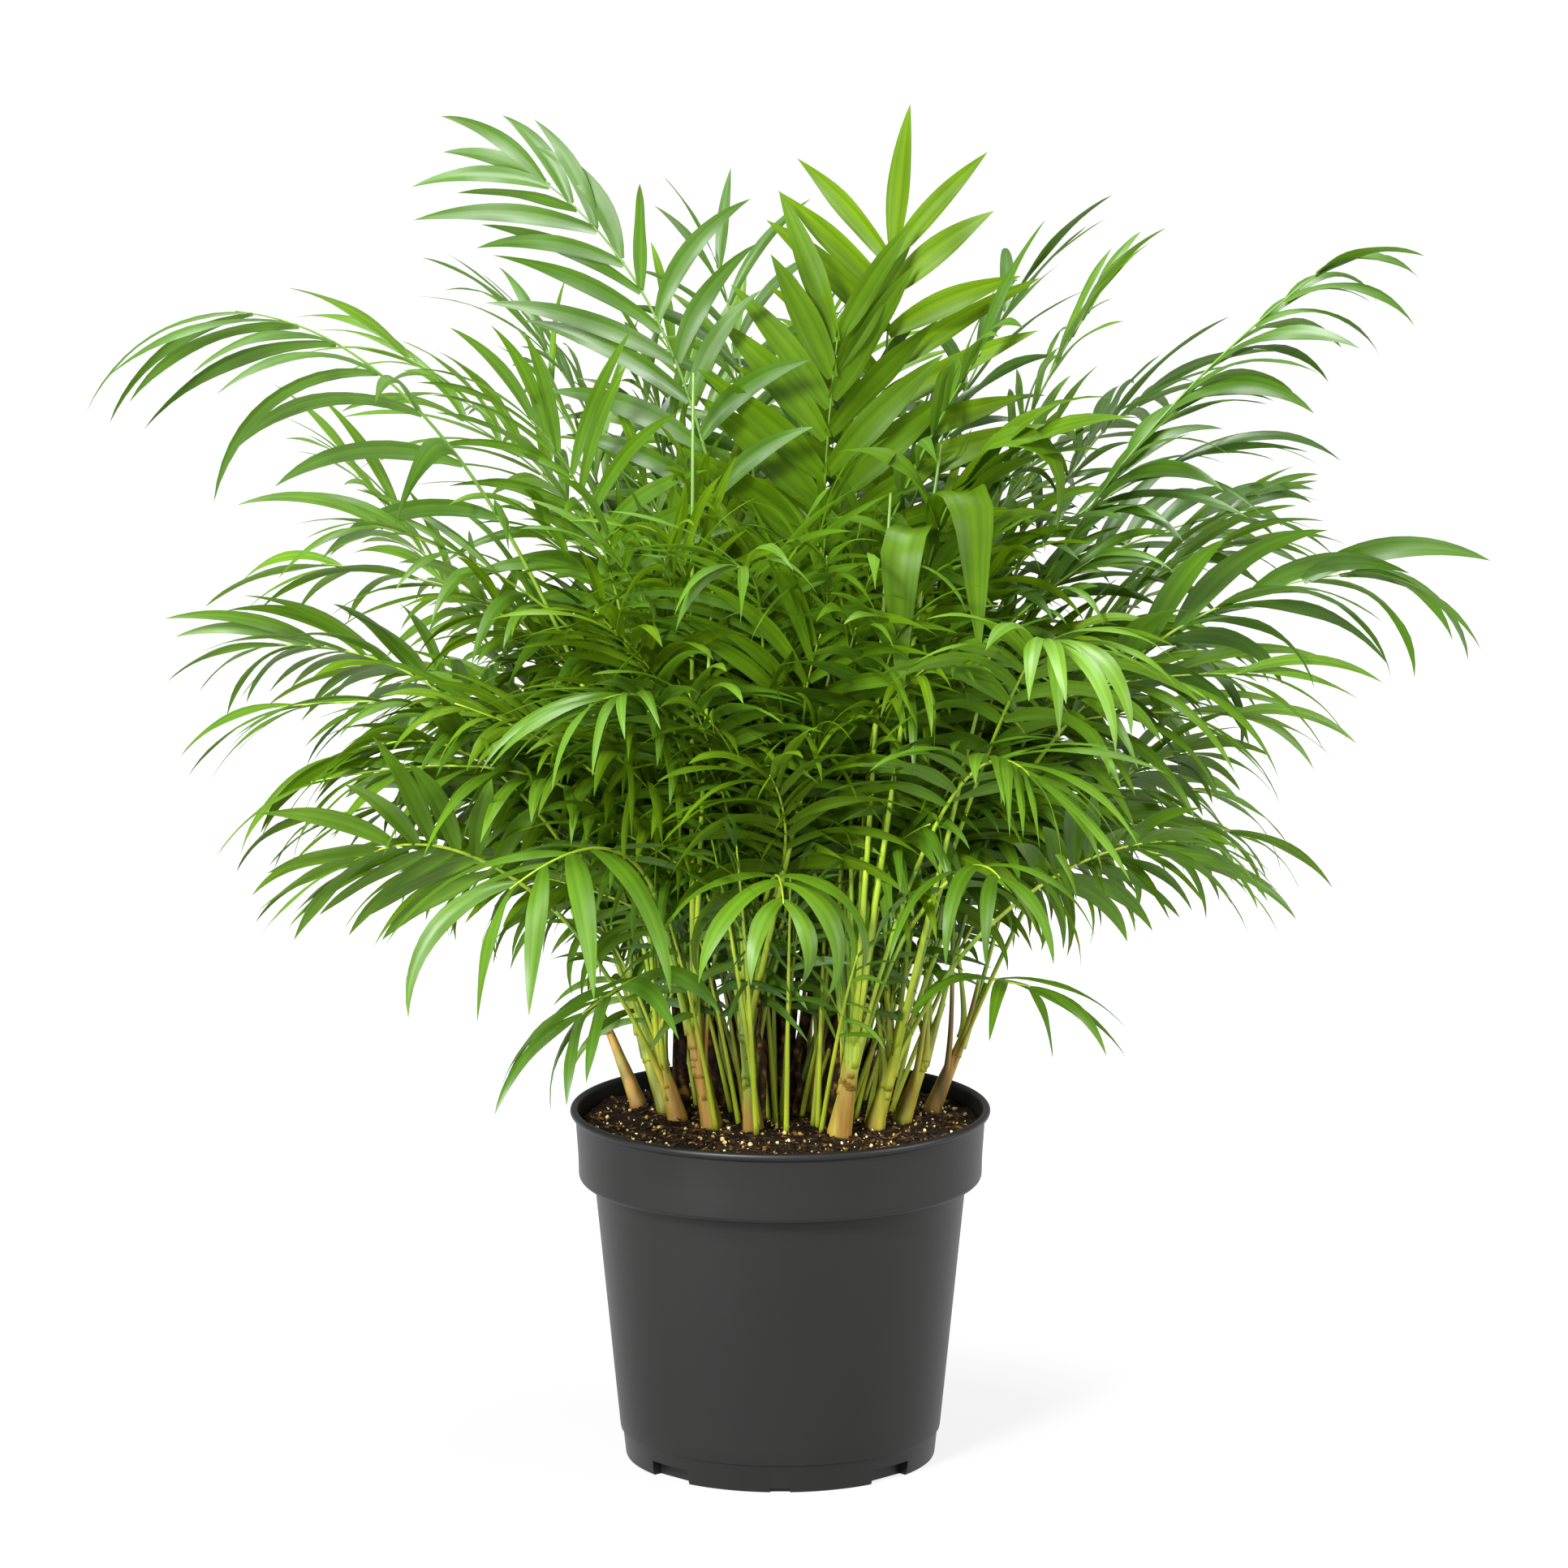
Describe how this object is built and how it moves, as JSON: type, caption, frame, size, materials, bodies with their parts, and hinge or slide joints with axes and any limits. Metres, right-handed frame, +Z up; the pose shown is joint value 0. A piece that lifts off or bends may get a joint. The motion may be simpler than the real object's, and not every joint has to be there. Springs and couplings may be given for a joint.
{
  "type": "potted cat palm",
  "caption": "Clumping palm with short sheathed canes and arching feather-shaped fronds, standing in a round rimmed nursery pot filled with bark potting mix.",
  "frame": {"origin": "centre of the pot's flat underside", "axes": "+Z up along the pot's axis, -Y towards the front of the plant, +X to the right as seen from the front"},
  "size_m": [0.8265, 0.6419, 0.8582],
  "materials": {
    "pot_plastic": "satin charcoal polypropylene",
    "potting_mix": "damp dark bark mix with perlite",
    "cane": "smooth yellow-green with tan sheaths",
    "leaf_deep": "deep green leaf, satin",
    "leaf_mid": "mid green leaf, satin",
    "leaf_fresh": "fresh light green leaf, satin"
  },
  "bodies": {
    "root": {"pot": "pot_plastic", "potting_mix": "potting_mix", "cane_far_left": "cane", "cane_left": "cane", "cane_left_inner": "cane", "cane_left_front": "cane", "cane_front": "cane", "cane_centre_right": "cane", "cane_front_right": "cane", "cane_right_front": "cane", "cane_right": "cane", "cane_far_right": "cane", "cane_back_left": "cane", "cane_back": "cane", "cane_back_right": "cane", "cane_centre": "cane", "frond_left_sweep": "leaf_deep", "frond_left_middle": "leaf_mid", "fronds_left_1": "leaf_fresh", "frond_left_droop": "leaf_mid", "frond_left_low": "leaf_mid", "fronds_left_inner_2": "leaf_fresh", "frond_inner_left": "leaf_mid", "frond_left_arch": "leaf_mid", "frond_left_front": "leaf_mid", "frond_left_bottom": "leaf_deep", "frond_front_left_middle": "leaf_deep", "frond_top_left": "leaf_deep", "frond_front_middle": "leaf_mid", "frond_front_droop": "leaf_mid", "fronds_front_3": "leaf_mid", "frond_top_fresh_left": "leaf_fresh", "frond_top_fresh_right": "leaf_fresh", "fronds_centre_right_2": "leaf_deep", "frond_broad_left": "leaf_mid", "frond_broad_right": "leaf_fresh", "frond_front_right_middle": "leaf_deep", "frond_front_right": "leaf_mid", "frond_hanging_right": "leaf_mid", "frond_right_low": "leaf_mid", "frond_right_sweep": "leaf_deep", "frond_top_right": "leaf_mid", "frond_right_long": "leaf_deep", "frond_right_middle": "leaf_mid", "fronds_right_2": "leaf_mid", "fronds_far_right_0": "leaf_mid", "frond_right_bottom": "leaf_mid", "frond_right_lower": "leaf_mid", "frond_right_upper": "leaf_deep", "fronds_back_left_0": "leaf_deep", "frond_back_left": "leaf_deep", "fronds_back_0": "leaf_deep", "frond_top_right_back": "leaf_deep", "fronds_back_right_1": "leaf_mid", "frond_top_left_back": "leaf_deep", "fronds_centre_1": "leaf_fresh"}
  },
  "joints": []
}
